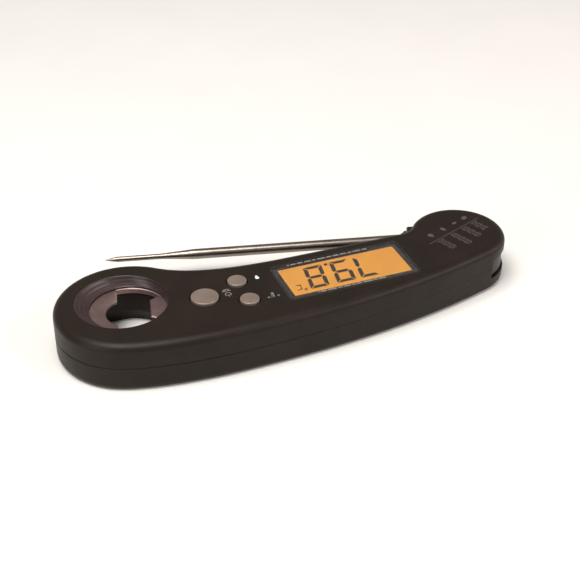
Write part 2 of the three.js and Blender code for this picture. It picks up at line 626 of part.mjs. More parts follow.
MAGNETS.forEach((m, i) =>
  addPart(`magnet_${i + 1}`, disc(m.x, m.y, MAGNET.r, 0, MAGNET.height, 28), MATERIAL.magnet));
CASE_SCREWS.forEach((s, i) =>
  addPart(`case_screw_${i + 1}`, screw(s.x, s.y, SCREW.headZ0, SCREW.headZ1, SCREW.end), MATERIAL.steel));
BOARD_SCREWS.forEach((s, i) =>
  addPart(`board_screw_${i + 1}`,
    screw(s.x, s.y, BOARD_Z.z0 - 1.3, BOARD_Z.z0 - 0.05, SCREW.end), MATERIAL.steel));

addPart("pivot_pin", pivotPin(), MATERIAL.steel);
addPart("hinge_lead", hingeLead(), MATERIAL.wire);
addPart("probe_hub", probeHub(), MATERIAL.hub, probeArm);
addPart("probe_tube", probeTube(), MATERIAL.steel, probeArm);
addPart("probe_seal", probeSeal(), MATERIAL.rubber, probeArm);
addPart("thermistor", thermistor(), MATERIAL.chip, probeArm);
addPart("sensor_lead", sensorLead(), MATERIAL.wire, probeArm);
const wakeMagnet = disc(WAKE_MAGNET.x, WAKE_MAGNET.y, WAKE_MAGNET.r, 10.4, 12.5, 16);
addPart("wake_magnet", wakeMagnet, MATERIAL.magnet, probeArm);
addPart("hub_seal_back", ringSeal(0, 0, HUB.sealR, 0.42, 5.6, 24), MATERIAL.rubber, probeArm);
addPart("hub_seal_front", ringSeal(0, 0, HUB.sealR, 0.42, 12.4, 24), MATERIAL.rubber, probeArm);
addPart("thrust_washer_back", thrustWasher(5.15, 6.05), MATERIAL.brass, probeArm);
addPart("thrust_washer_front", thrustWasher(11.95, 12.85), MATERIAL.brass, probeArm);

export default thermometer;
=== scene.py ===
"""A folding digital meat thermometer, lying on its back with its probe part way open.

Outlines are in millimetres in the part's frame: the origin is on the probe's pivot axis at the flat back,
X runs along the display towards the opener ring and Z points out of the face.
"""
import json
import math

import bmesh
import bpy
from mathutils import Matrix, Vector


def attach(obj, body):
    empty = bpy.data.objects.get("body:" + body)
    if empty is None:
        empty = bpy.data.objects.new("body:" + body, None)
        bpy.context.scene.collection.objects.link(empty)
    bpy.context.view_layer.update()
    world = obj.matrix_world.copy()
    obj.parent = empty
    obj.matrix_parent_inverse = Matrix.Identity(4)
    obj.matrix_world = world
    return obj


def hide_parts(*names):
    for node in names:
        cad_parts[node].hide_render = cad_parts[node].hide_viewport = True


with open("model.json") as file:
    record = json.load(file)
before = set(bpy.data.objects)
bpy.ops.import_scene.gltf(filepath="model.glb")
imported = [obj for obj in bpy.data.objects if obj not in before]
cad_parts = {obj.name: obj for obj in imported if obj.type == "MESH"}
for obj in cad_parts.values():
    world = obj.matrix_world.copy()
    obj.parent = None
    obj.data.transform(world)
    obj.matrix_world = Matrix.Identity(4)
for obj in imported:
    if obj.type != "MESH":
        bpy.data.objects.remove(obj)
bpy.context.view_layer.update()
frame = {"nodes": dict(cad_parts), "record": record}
NODES = frame["nodes"]
MM = 0.001

# ---- Sizes of the thermometer, in millimetres ----
THICKNESS = 18.0
SPLIT = 9.0
SPLIT_GAP = 0.05
SIDE_WALL = 2.2
FACE_WALL = 2.0
CLEARANCE = 0.3
KNUCKLE_R = 17.3
RING = (125.8, 0.9, 25.2)
HOLE = (125.4, -0.45, 13.0)
DISH = (127.3, -0.9, 15.8)
OPENER_TURN = math.radians(-13.5)
PLATE_Z = (12.1, 14.3)
PLATE_R = 15.2
TOP_APEX = (95.0, 29.8)
LOWER_Y = -7.4
LOWER_END = (62.0, -7.9)
FILLET_R = 8.9
DISPLAY = (27.1, 71.4, 0.35, 17.25)
WINDOW_MARGIN = 2.3
LCD_TOP = 16.85
KEYS = {"power_key": (100.6, 7.5, 5.0), "unit_key": (86.8, 14.2, 3.55), "light_key": (87.1, 2.2, 3.55)}
POCKET_R = 17.05
POCKET_Z = (5.0, 13.0)
SWEEP_DEG = (111.0, 330.5)
SWEEP_R = 26.0
HUB_R = 16.6
HUB_Z = (5.3, 12.7)
PIN_R = 2.12
PROBE_OFFSET = -10.8
PROBE_REST = math.radians(-14.1)
PROBE_FOLDED = math.radians(-3.7)
CELL = (56.0, 10.3)
DOOR_HOLE_R = 13.1
TAB_R = (9.8, 14.8)
TAB_HALF_DEG = 11
DOOR_OPEN_DEG = -30
LEDGE_R = (12.6, 16.6)
LEDGE_Z = (3.6, 4.8)
CASE_SCREWS = [(19.5, 17.5), (20.9, -4.1), (80.5, 24.4), (80.5, -5.4), (140.5, 14.7), (140.5, -13.3)]
BOARD_SCREWS = [(79.0, 18.4), (79.0, 0.4), (104.6, 17.2)]
MAGNETS = [(33.0, 9.5), (92.0, 8.5)]
BOSS_R = 2.6
BOARD_POST_R = 2.3
SCREW_HOLE_R = 1.3
SCREW_SEAT_R = 2.3
MAGNET_SEAT_R = 5.3
MAGNET_BOSS_R = 6.9
PANE_TOP = 17.95
CAMERA_PLACE = (0.206, 0.350, 0.260)
CAMERA_AIM = (0.0665, 0.0, 0.008)
CAMERA_LENS = 79


# ---- Outlines: counter-clockwise lists of (x, y) in millimetres ----
def circle(cx, cy, r, n=96):
    turns = [2 * math.pi * i / n for i in range(n)]
    return [(cx + r * math.cos(a), cy + r * math.sin(a)) for a in turns]


def arc(cx, cy, r, start, stop, n):
    """n + 1 points from one angle to another, in degrees."""
    turns = [math.radians(start + (stop - start) * i / n) for i in range(n + 1)]
    return [(cx + r * math.cos(a), cy + r * math.sin(a)) for a in turns]


def bezier(p0, p1, p2, p3, n):
    points = []
    for i in range(n + 1):
        t = i / n
        w = ((1 - t) ** 3, 3 * t * (1 - t) ** 2, 3 * t * t * (1 - t), t ** 3)
        points.append(tuple(w[0] * a + w[1] * b + w[2] * c + w[3] * d
                            for a, b, c, d in zip(p0, p1, p2, p3)))
    return points


def rectangle(x0, x1, y0, y1, r=0.0, n=8):
    if r <= 0:
        return [(x0, y0), (x1, y0), (x1, y1), (x0, y1)]
    return (arc(x1 - r, y0 + r, r, -90, 0, n) + arc(x1 - r, y1 - r, r, 0, 90, n)
            + arc(x0 + r, y1 - r, r, 90, 180, n) + arc(x0 + r, y0 + r, r, 180, 270, n))


def without_repeats(points, closest=1e-3):
    return [p for i, p in enumerate(points) if math.dist(p, points[i - 1]) > closest]


def offset(points, distance):
    """The closed outline moved inwards by a distance."""
    moved = []
    n = len(points)
    for i, (x, y) in enumerate(points):
        before, after = Vector(points[i - 1]), Vector(points[(i + 1) % n])
        along = (after - before).normalized()
        moved.append((x - along.y * distance, y + along.x * distance))
    return moved


def polar(centre, degrees):
    x, y, r = centre
    return (x + r * math.cos(math.radians(degrees)), y + r * math.sin(math.radians(degrees)))


def handle_outline():
    """The whole handle seen from the front: knuckle, long upper edge, ring, and straight lower edge."""
    leave, join, rejoin = 107, 62, -130
    start = polar((0, 0, KNUCKLE_R), leave)
    ring_top = polar(RING, join)
    ring_foot = polar(RING, rejoin)
    fillet_y = LOWER_Y - FILLET_R
    fillet_x = math.sqrt((KNUCKLE_R + FILLET_R) ** 2 - fillet_y ** 2)
    fillet_deg = math.degrees(math.atan2(fillet_y, fillet_x))
    apex_x, apex_y = TOP_APEX
    clockwise = bezier(start, (start[0] + 31.5, start[1] + 9.6), (apex_x - 38, apex_y), TOP_APEX, 48)
    clockwise += bezier(TOP_APEX, (apex_x + 15, apex_y),
                        (ring_top[0] - 8.8, ring_top[1] + 4.7), ring_top, 20)
    clockwise += arc(RING[0], RING[1], RING[2], join, rejoin, 84)
    clockwise += bezier(ring_foot, (ring_foot[0] - 10.7, ring_foot[1] + 9),
                        (LOWER_END[0] + 18, LOWER_END[1] - 0.3), LOWER_END, 36)
    clockwise += arc(fillet_x, fillet_y, FILLET_R, 90, fillet_deg + 180, 16)
    clockwise += arc(0, 0, KNUCKLE_R, fillet_deg, leave - 360, 96)
    return without_repeats(clockwise)[::-1]


OUTLINE = handle_outline()


# ---- Meshes ----
def new_object(name, mesh):
    made = bpy.data.objects.new(name, mesh)
    bpy.context.scene.collection.objects.link(made)
    return made


def stack(name, levels, matrix=None):
    """A closed solid through a stack of outlines, each (z, points), all with the same number of points."""
    mesh = bmesh.new()
    rings = [[mesh.verts.new((x * MM, y * MM, z * MM)) for x, y in points] for z, points in levels]
    n = len(rings[0])
    for low, high in zip(rings, rings[1:]):
        for i in range(n):
            mesh.faces.new((low[i], low[(i + 1) % n], high[(i + 1) % n], high[i]))
    mesh.faces.new(rings[0][::-1])
    mesh.faces.new(rings[-1])
    if matrix is not None:
        bmesh.ops.transform(mesh, matrix=matrix, verts=mesh.verts)
    data = bpy.data.meshes.new(name)
    mesh.to_mesh(data)
    mesh.free()
    return new_object(name, data)


def prism(points, z0, z1, matrix=None):
    return stack("cutter", [(z0, points), (z1, points)], matrix)


def block(x0, x1, y0, y1, z0, z1, matrix=None):
    return prism(rectangle(x0, x1, y0, y1), z0, z1, matrix)


def disc(x, y, r, z0, z1, n=64):
    return prism(circle(x, y, r, n), z0, z1)


def turned(name, profile, x=0.0, y=0.0, n=96, matrix=None):
    """A solid of revolution about Z: profile points are (z, radius), from one end to the other."""
    return stack(name, [(z, circle(x, y, max(r, 0.005), n)) for z, r in profile], matrix)


def quarter_turn(steps):
    """Angles from 0 to 90 degrees, in radians, for rounding an edge."""
    return [math.pi / 2 * i / steps for i in range(steps + 1)]


def flared_disc(x, y, r, z0, z1, flare, n=96):
    """A cutter for a round hole with a softly rounded mouth at z1."""
    mouth = [(z1 - flare + flare * math.sin(a), r + flare * (1 - math.cos(a)))
             for a in quarter_turn(5)]
    return turned("cutter", [(z0, r)] + mouth + [(z1 + 1, r + flare)], x, y, n)


def combine(base, operations):
    """Applies booleans, each (operation, solid), and deletes the solids used up."""
    for operation, other in operations:
        modifier = base.modifiers.new("cut", "BOOLEAN")
        modifier.operation = operation
        modifier.solver = "MANIFOLD"
        modifier.object = other
    bpy.context.view_layer.update()
    evaluated = base.evaluated_get(bpy.context.evaluated_depsgraph_get())
    mesh = bpy.data.meshes.new_from_object(evaluated)
    base.modifiers.clear()
    base.data = mesh
    for _, other in operations:
        bpy.data.objects.remove(other)
    return base


def cut(base, *cutters):
    return combine(base, [("DIFFERENCE", cutter) for cutter in cutters])


def smooth(piece, degrees=30):
    """Smooth shading that keeps edges sharper than the angle, and flat faces flat."""
    mesh = piece.data
    mesh.polygons.foreach_set("use_smooth", [True] * len(mesh.polygons))
    mesh.set_sharp_from_angle(angle=math.radians(degrees))
    weighted = piece.modifiers.new("even_normals", "WEIGHTED_NORMAL")
    weighted.keep_sharp = True
    weighted.weight = 80
    return piece


def finish_piece(piece, name, body, material, replaced=()):
    piece.name = name
    piece.data.name = name
    piece.data.materials.clear()
    piece.data.materials.append(material)
    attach(piece, body)
    if replaced:
        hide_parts(*replaced)
    return piece


# ---- Materials ----
class Paint:
    """A procedural material: one Principled shader and the textures that feed it."""

    def __init__(self, name, colour, roughness, metallic=0.0, **sockets):
        self.material = bpy.data.materials.new(name)
        self.material.use_nodes = True
        self.tree = self.material.node_tree
        self.shader = self.tree.nodes["Principled BSDF"]
        self.shader.inputs["Base Color"].default_value = (*colour, 1)
        self.shader.inputs["Roughness"].default_value = roughness
        self.shader.inputs["Metallic"].default_value = metallic
        for socket, value in sockets.items():
            self.shader.inputs[socket.replace("_", " ")].default_value = value
        self.place = self.tree.nodes.new("ShaderNodeTexCoord").outputs["Object"]

    def noise(self, size_mm, detail=4.0, rough=0.6, stretch=(1, 1, 1), turn=0.0):
        """Noise with features of about that size. Stretch lengthens them along an axis."""
        mapping = self.tree.nodes.new("ShaderNodeMapping")
        mapping.vector_type = "TEXTURE"
        mapping.inputs["Rotation"].default_value = (0, 0, turn)
        mapping.inputs["Scale"].default_value = stretch
        texture = self.tree.nodes.new("ShaderNodeTexNoise")
        texture.inputs["Scale"].default_value = 1 / (size_mm * MM)
        texture.inputs["Detail"].default_value = detail
        texture.inputs["Roughness"].default_value = rough
        self.tree.links.new(self.place, mapping.inputs["Vector"])
        self.tree.links.new(mapping.outputs["Vector"], texture.inputs["Vector"])
        return texture.outputs["Fac"]

    def between(self, factor, low, high, start=0.3, stop=0.7):
        """Maps a factor to numbers between low and high."""
        node = self.tree.nodes.new("ShaderNodeMapRange")
        node.inputs["From Min"].default_value = start
        node.inputs["From Max"].default_value = stop
        node.inputs["To Min"].default_value = low
        node.inputs["To Max"].default_value = high
        self.tree.links.new(factor, node.inputs["Value"])
        return node.outputs["Result"]

    def colours(self, factor, stops):
        """A ramp of (position, colour) stops read by a factor."""
        ramp = self.tree.nodes.new("ShaderNodeValToRGB")
        elements = ramp.color_ramp.elements
        while len(elements) < len(stops):
            elements.new(0.5)
        for element, (position, colour) in zip(elements, stops):
            element.position = position
            element.color = (*colour, 1)
        self.tree.links.new(factor, ramp.inputs["Fac"])
        return ramp.outputs["Color"]

    def feed(self, socket, output):
        self.tree.links.new(output, self.shader.inputs[socket])
        return self

    def bump(self, height, distance_mm, strength=1.0, under=None):
        node = self.tree.nodes.new("ShaderNodeBump")
        node.inputs["Strength"].default_value = strength
        node.inputs["Distance"].default_value = distance_mm * MM
        self.tree.links.new(height, node.inputs["Height"])
        if under is not None:
            self.tree.links.new(under, node.inputs["Normal"])
        self.tree.links.new(node.outputs["Normal"], self.shader.inputs["Normal"])
        return node.outputs["Normal"]


def moulded(name, dark, light, roughness, grain_mm=0.35, grain_depth=0.012, **sockets):
    """Moulded plastic or rubber: fine sparked grain, faint flow clouds, handling marks in the gloss."""
    paint = Paint(name, dark, roughness, **sockets)
    clouds = paint.noise(14, detail=3)
    grain = paint.noise(grain_mm, detail=2, rough=0.7)
    handling = paint.noise(5, detail=5, rough=0.65)
    paint.feed("Base Color", paint.colours(clouds, [(0.35, dark), (0.65, light)]))
    paint.feed("Roughness", paint.between(handling, roughness - 0.03, roughness + 0.05))
    paint.bump(grain, grain_depth)
    return paint.material


def metal(name, dark, light, roughness, size_mm=0.12, stretch=(40, 1, 1), turn=0.0, depth=0.004):
    """Brushed metal with fine lines along the stretched axis."""
    paint = Paint(name, light, roughness, metallic=1.0)
    lines = paint.noise(size_mm, detail=3, rough=0.6, stretch=stretch, turn=turn)
    stain = paint.noise(9, detail=4)
    paint.feed("Base Color", paint.colours(stain, [(0.3, dark), (0.7, light)]))
    paint.feed("Roughness", paint.between(lines, roughness - 0.07, roughness + 0.1))
    paint.bump(lines, depth)
    return paint.material


def lit_display():
    """Amber backlight seen through the liquid crystal glass, slightly uneven."""
    paint = Paint("lcd_amber", (0.30, 0.13, 0.02), 0.25)
    glow = paint.noise(16, detail=2, stretch=(1.6, 1, 1))
    amber = paint.colours(glow, [(0.30, (0.60, 0.255, 0.021)), (0.70, (0.70, 0.300, 0.030))])
    paint.feed("Emission Color", amber)
    paint.shader.inputs["Emission Strength"].default_value = 0.85
    return paint.material


def clear_window():
    """The polished clear window over the display."""
    paint = Paint("window_clear", (1.0, 0.99, 0.97), 0.03, Transmission_Weight=1.0, IOR=1.49)
    wear = paint.noise(7, detail=5, rough=0.7)
    paint.feed("Roughness", paint.between(wear, 0.015, 0.06))
    return paint.material


def ink(name, thin, full, roughness=0.5, emission=0.0):
    """Pad-printed ink with slightly uneven cover. With an emission it also glows, which is painted light.
    """
    paint = Paint(name, full, roughness)
    cover = paint.noise(0.5, detail=3, rough=0.7)
    colour = paint.colours(cover, [(0.3, thin), (0.62, full)])
    paint.feed("Base Color", colour)
    if emission:
        paint.feed("Emission Color", colour)
        paint.shader.inputs["Emission Strength"].default_value = emission
    paint.bump(cover, 0.004)
    return paint.material


def laminate():
    """Green solder-masked circuit board with a faint weave."""
    paint = Paint("board_green", (0.01, 0.10, 0.035), 0.35)
    weave = paint.noise(0.6, detail=1, stretch=(6, 1, 1))
    greens = [(0.35, (0.008, 0.08, 0.03)), (0.65, (0.02, 0.15, 0.05))]
    paint.feed("Base Color", paint.colours(weave, greens))
    paint.bump(weave, 0.01)
    return paint.material


MATERIALS = {
    "shell_plastic": moulded("shell_black", (0.0105, 0.0062, 0.0040), (0.0145, 0.0088, 0.0060), 0.43,
                             Specular_IOR_Level=0.19),
    "hub_plastic": moulded("hub_black", (0.0105, 0.0062, 0.0040), (0.0145, 0.0088, 0.0060), 0.40,
                           grain_mm=0.3, Specular_IOR_Level=0.25),
    "opener_steel": metal("opener_dark_steel", (0.27, 0.185, 0.18), (0.38, 0.27, 0.26), 0.42,
                          size_mm=0.18, stretch=(1, 30, 1), turn=OPENER_TURN),
    "key_plastic": moulded("key_silver", (0.180, 0.137, 0.114), (0.240, 0.185, 0.156), 0.40, grain_mm=0.5,
                           grain_depth=0.02, Metallic=0.35),
    "window_plastic": clear_window(),
    "lcd_glass": lit_display(),
    "guide_plastic": moulded("guide_amber", (0.8, 0.5, 0.18), (0.9, 0.62, 0.26), 0.2),
    "frame_plastic": moulded("frame_white", (0.70, 0.69, 0.66), (0.80, 0.79, 0.76), 0.5),
    "seal_rubber": moulded("seal_black", (0.018, 0.018, 0.018), (0.035, 0.034, 0.033), 0.75, grain_mm=0.2),
    "membrane_rubber": moulded("membrane_grey", (0.12, 0.12, 0.115), (0.17, 0.165, 0.16), 0.7,
                               grain_mm=0.25),
    "board_laminate": laminate(),
    "chip_plastic": moulded("chip_black", (0.012, 0.012, 0.012), (0.025, 0.025, 0.025), 0.55, grain_mm=0.2),
    "led_plastic": moulded("led_clear", (0.85, 0.80, 0.55), (0.95, 0.92, 0.70), 0.2),
    "stainless": metal("stainless_brushed", (0.205, 0.176, 0.152), (0.285, 0.250, 0.218), 0.27,
                       stretch=(60, 1, 1), turn=PROBE_REST),
    "fastener_steel": metal("fastener_zinc", (0.38, 0.38, 0.38), (0.52, 0.52, 0.51), 0.33,
                            stretch=(1, 1, 1)),
    "magnet_nickel": metal("magnet_nickel", (0.50, 0.49, 0.46), (0.64, 0.63, 0.60), 0.18,
                           stretch=(1, 1, 1)),
    "contact_brass": metal("contact_brass", (0.60, 0.42, 0.16), (0.76, 0.55, 0.24), 0.25),
    "lead_rubber": moulded("lead_red", (0.28, 0.03, 0.02), (0.38, 0.05, 0.035), 0.55, grain_mm=0.2),
}
INK_GREY = ink("ink_grey", (0.12, 0.105, 0.098), (0.25, 0.22, 0.205))
INK_FAINT = ink("ink_faint", (0.040, 0.032, 0.030), (0.085, 0.070, 0.066))
# The lamp sign's ink glows faintly: a painted glow, as printed ink gives no light.
LAMP_INK_PAINTED_GLOW = ink("lamp_ink_painted_glow", (0.45, 0.55, 0.60), (0.70, 0.80, 0.85), emission=0.15)
INK_DIGIT = ink("ink_digit", (0.020, 0.008, 0.004), (0.012, 0.005, 0.003), roughness=0.35)
# Painted sheen: the dish round the opener hole gets the shell's plastic in a redder, lighter colour,
# standing in for the light it catches; its roughness and specular are glossier too.
DISH_PAINTED_SHEEN = moulded("dish_painted_sheen", (0.024, 0.0135, 0.0135), (0.038, 0.022, 0.022), 0.34,
                     Specular_IOR_Level=0.45)
# Glossy black: the border's print under the window, and painted shade on the window's side faces.
BLACK_PRINT_AND_EDGE_SHADE = moulded("black_print_and_edge_shade", (0.0085, 0.0068, 0.0062), (0.0115, 0.0092, 0.0084), 0.22,
                    grain_depth=0.003)

SLOT_OF = {entry["node"]: entry["material_slot"] for entry in frame["record"]["subparts"]}
for node_name, node in NODES.items():
    node.data.materials.clear()
    node.data.materials.append(MATERIALS[SLOT_OF[node_name]])


# ---- Shells ----
def rounded_levels(z_start, z_stop, across, tall, steps=7):
    """Levels of the handle's outline round an edge, from the side wall at z_start to the face at z_stop."""
    way = 1 if z_stop > z_start else -1
    levels = []
    for a in quarter_turn(steps):
        z = z_stop - way * tall * (1 - math.sin(a))
        levels.append((z, offset(OUTLINE, across * (1 - math.cos(a)))))
    return levels


SEAM = 0.22


def front_body():
    seam = [(SPLIT, offset(OUTLINE, SEAM)), (SPLIT + SEAM, OUTLINE)]
    return stack("front", seam + rounded_levels(SPLIT, THICKNESS, 3.4, 2.8))


def back_body():
    top = SPLIT - SPLIT_GAP
    seam = [(top - SEAM, OUTLINE), (top, offset(OUTLINE, SEAM))]
    return stack("back", rounded_levels(SPLIT, 0, 2.4, 2.4)[::-1] + seam)


def turn_folded():
    return Matrix.Rotation(PROBE_FOLDED, 4, "Z")


def compartment(z0, z1, grow=0.0):
    """The sealed room for the electronics, between the hub's pocket and the opener ring."""
    room = prism(offset(OUTLINE, SIDE_WALL - grow), z0, z1)
    middle = block(15 - grow, 107.2 + grow, -60, 60, z0 - 1, z1 + 1)
    hub_wall = disc(0, 0, POCKET_R + 2.5 - grow, z0 - 1, z1 + 1, 128)
    tip_wall = block(60, 140, -40, PROBE_OFFSET + 4.3 - grow, z0 - 1, z1 + 1, turn_folded())
    return combine(room, [("INTERSECT", middle), ("DIFFERENCE", hub_wall), ("DIFFERENCE", tip_wall)])


def gasket_groove(z0, z1):
    return cut(compartment(z0, z1, 1.75), compartment(z0 - 1, z1 + 1, 0.45))


def hub_pocket():
    low, high = POCKET_Z
    sector = [(0.0, 0.0)] + arc(0, 0, SWEEP_R, *SWEEP_DEG, 60)
    return [disc(0, 0, POCKET_R, low, high, 192), prism(sector, low, high)]


def tip_slot():
    """The slot in the ring's rim for the folded probe's tip."""
    half = 2.05
    return block(99, 132.5, -40, PROBE_OFFSET + 1.9, SPLIT - half, SPLIT + half, turn_folded())


def dish_levels():
    """The sunk, stepped surround of the opener hole: its circles grow and drift outwards as they rise."""
    steps = [(14.6, 0.0), (14.95, 0.0), (15.05, 0.04), (15.2, 0.14), (15.75, 0.28), (15.86, 0.32),
             (15.93, 0.43), (16.08, 0.48), (16.6, 0.58), (16.72, 0.62), (16.8, 0.73), (16.95, 0.78),
             (17.45, 0.88), (17.75, 0.93), (17.93, 0.99), (18.0, 1.06), (18.5, 1.06)]
    levels = []
    for z, u in steps:
        x, y, r = ((1 - u) * a + u * b for a, b in zip((HOLE[0], HOLE[1], HOLE[2] + 0.25), DISH))
        levels.append((z, circle(x, y, r, 144)))
    return levels


def plate_seat():
    return disc(HOLE[0], HOLE[1], PLATE_R + CLEARANCE, SPLIT - 1, PLATE_Z[1] + CLEARANCE, 144)


def plate_collar():
    """The back shell's collar that holds the opener plate up in its seat."""
    return disc(HOLE[0], HOLE[1], PLATE_R, SPLIT - 1, PLATE_Z[0] - CLEARANCE, 144)


def through_hole():
    x, y, r = HOLE
    wide = r + 2.0
    profile = [(-1, wide + 0.5), (0, wide + 0.5), (0.15, wide + 0.2), (0.5, wide), (4.6, r + 0.35),
               (5.2, r + 0.25), (14.8, r + 0.25)]
    return turned("cutter", profile, x, y, 144)


def window_cutter():
    x0, x1, y0, y1 = DISPLAY
    m = WINDOW_MARGIN + 0.25
    flares = [(16.9, 0.0), (17.75, 0.0), (17.83, 0.03), (17.93, 0.1), (18.0, 0.22), (19.0, 0.22)]
    return stack("cutter", [(z, rectangle(x0 - m - f, x1 + m + f, y0 - m - f, y1 + m + f, 2.0 + f))
                            for z, f in flares])


def lcd_opening():
    x0, x1, y0, y1 = DISPLAY
    m = 0.4
    return prism(rectangle(x0 - m, x1 + m, y0 - m, y1 + m, 1.0), 15, 17.2)


def pin_hole():
    return disc(0, 0, PIN_R, 2.2, 14.3, 48)


def make_front_shell():
    ceiling = THICKNESS - FACE_WALL
    shell = cut(front_body(), compartment(SPLIT - 1, ceiling))
    posts = [disc(x, y, BOSS_R, SPLIT, ceiling + 0.5, 32) for x, y in CASE_SCREWS[:4]]
    posts += [disc(x, y, BOARD_POST_R, 11.35, ceiling + 0.5, 32) for x, y in BOARD_SCREWS]
    combine(shell, [("UNION", post) for post in posts])
    pilots = [disc(x, y, SCREW_HOLE_R, SPLIT - 1, 14.2, 24) for x, y in CASE_SCREWS + BOARD_SCREWS]
    key_holes = [flared_disc(x, y, r + 0.15, ceiling - 1, THICKNESS, 0.4) for x, y, r in KEYS.values()]
    cut(shell, *pilots)
    cut(shell, *key_holes, window_cutter(), lcd_opening())
    cut(shell, *hub_pocket(), pin_hole(), block(-0.8, 21, -0.8, 0.8, POCKET_Z[1] - 0.1, 15.9))
    cut(shell, gasket_groove(SPLIT - 1, SPLIT + 0.7), tip_slot())
    cut(shell, stack("cutter", dish_levels()), through_hole(), plate_seat())
    finish_piece(smooth(shell), "front_case", "handle", MATERIALS["shell_plastic"],
                 ["front_shell"])
    # The dish's faces take the redder, lighter colour, a painted sheen.
    shell.data.materials.append(DISH_PAINTED_SHEEN)
    for face in shell.data.polygons:
        x, y, z = face.center / MM
        if PLATE_Z[1] < z < THICKNESS - 0.005 and math.dist((x, y), DISH[:2]) < DISH[2] + 0.3:
            face.material_index = 1


def sector(r0, r1, middle_deg, half_deg, n=10):
    inner = arc(*CELL, r0, middle_deg + half_deg, middle_deg - half_deg, n)
    outer = arc(*CELL, r1, middle_deg - half_deg, middle_deg + half_deg, n)
    return inner + outer


def flared_from_below(x, y, r, z1, flare, n=64):
    """A cutter for a round hole in the back, with a softly rounded mouth at the back face."""
    mouth = [(flare * (1 - math.cos(a)), r + flare * (1 - math.sin(a))) for a in quarter_turn(4)]
    return turned("cutter", [(-1, r + flare)] + mouth + [(z1, r)], x, y, n)


def door_ledge():
    """The ledge that the door's tabs turn under. It also closes off their notches."""
    inner, outer = LEDGE_R
    top = LEDGE_Z[1]
    ledge = cut(disc(*CELL, outer, FACE_WALL - 0.5, top, 128), disc(*CELL, inner, 0, top + 1, 128))
    return combine(ledge, [("INTERSECT", back_body())])


def tab_channel():
    channel = disc(*CELL, TAB_R[1] + CLEARANCE, FACE_WALL, LEDGE_Z[0], 128)
    return combine(channel, [("INTERSECT", compartment(1.0, SPLIT))])


def make_back_shell():
    shell = cut(back_body(), compartment(FACE_WALL, SPLIT + 1))
    root = FACE_WALL - 0.5
    bosses = [disc(x, y, BOSS_R, root, SPLIT - SPLIT_GAP, 32) for x, y in CASE_SCREWS[:4]]
    bosses += [disc(x, y, MAGNET_BOSS_R, root, 3.8, 64) for x, y in MAGNETS]
    combine(shell, [("UNION", boss) for boss in bosses + [plate_collar(), door_ledge()]])
    cut(shell, *[disc(x, y, SCREW_HOLE_R, -1, SPLIT + 1, 24) for x, y in CASE_SCREWS])
    cut(shell, *[flared_from_below(x, y, SCREW_SEAT_R, 2.2, 0.25) for x, y in CASE_SCREWS])
    cut(shell, *[flared_from_below(x, y, MAGNET_SEAT_R, 2.4, 0.2, 96) for x, y in MAGNETS])
    notches = [prism(sector(TAB_R[0], TAB_R[1] + CLEARANCE, at + DOOR_OPEN_DEG, TAB_HALF_DEG + 2), -1, 3)
               for at in (0, 180)]
    closed_x, closed_y = polar((*CELL, 17.2), 0)
    open_x, open_y = polar((*CELL, 17.6), DOOR_OPEN_DEG)
    open_mark = cut(disc(open_x, open_y, 1.0, -1, 0.45, 32), disc(open_x, open_y, 0.5, -2, 1, 24))
    notches += [disc(closed_x, closed_y, 1.0, -1, 0.45, 32), open_mark, tab_channel()]
    cut(shell, flared_from_below(*CELL, DOOR_HOLE_R, 3, 0.3, 128), *notches)
    cut(shell, *hub_pocket(), pin_hole(), gasket_groove(SPLIT - 0.7, SPLIT + 1), tip_slot())
    cut(shell, through_hole())
    return finish_piece(smooth(shell), "back_case", "handle", MATERIALS["shell_plastic"],
                        ["back_shell"])


# ---- Opener plate ----
def opener_contour(grow=0.0):
    """The opening in the plate: a tooth on the handle's side, a lip with a round bite on the other."""
    r = HOLE[2] + grow
    tooth_x, lip_x, bite_r = -7.5 - grow, 3.65 + grow, 7.8 + grow
    tooth_half, root_half = 5.0 - grow, 6.8 - grow
    root = math.degrees(math.atan2(root_half, -math.sqrt(r * r - root_half ** 2)))
    lip = math.degrees(math.acos(lip_x / r))
    bite = math.degrees(math.acos(lip_x / bite_r))
    upper = arc(0, 0, r, lip, root, 28) + [(-10.5, root_half), (tooth_x, tooth_half)]
    lower = [(tooth_x, -tooth_half), (-10.5, -root_half)] + arc(0, 0, r, -root, -lip, 28)
    return lower + arc(0, 0, bite_r, -bite, bite, 36) + upper


def make_opener():
    z0, z1 = PLATE_Z
    edge = 0.28
    soft = 0.2
    outer = [(z0, PLATE_R - soft), (z0 + soft, PLATE_R), (z1 - soft, PLATE_R), (z1, PLATE_R - soft)]
    plate = turned("opener", outer, n=144)
    chamfers = [(z0 - 1, edge), (z0, edge), (z0 + edge, 0.0), (z1 - edge, 0.0), (z1, edge), (z1 + 1, edge)]
    cut(plate, stack("cutter", [(z, opener_contour(g)) for z, g in chamfers]))
    wide = [(3.0, -11.9)] + arc(0, 0, 12.2, -75, 75, 40) + [(3.0, 11.9)]
    narrow = [(3.0, -7.4)] + arc(0, 0, 7.9, -68, 68, 40) + [(3.0, 7.4)]
    cut(plate, stack("cutter", [(z1 - 1.3, narrow), (z1, wide), (z1 + 1, wide)]))
    move = Matrix.Translation((HOLE[0] * MM, HOLE[1] * MM, 0))
    plate.data.transform(move @ Matrix.Rotation(OPENER_TURN, 4, "Z"))
    return finish_piece(smooth(plate), "opener_blade", "handle", MATERIALS["opener_steel"],
                        ["opener_plate"])


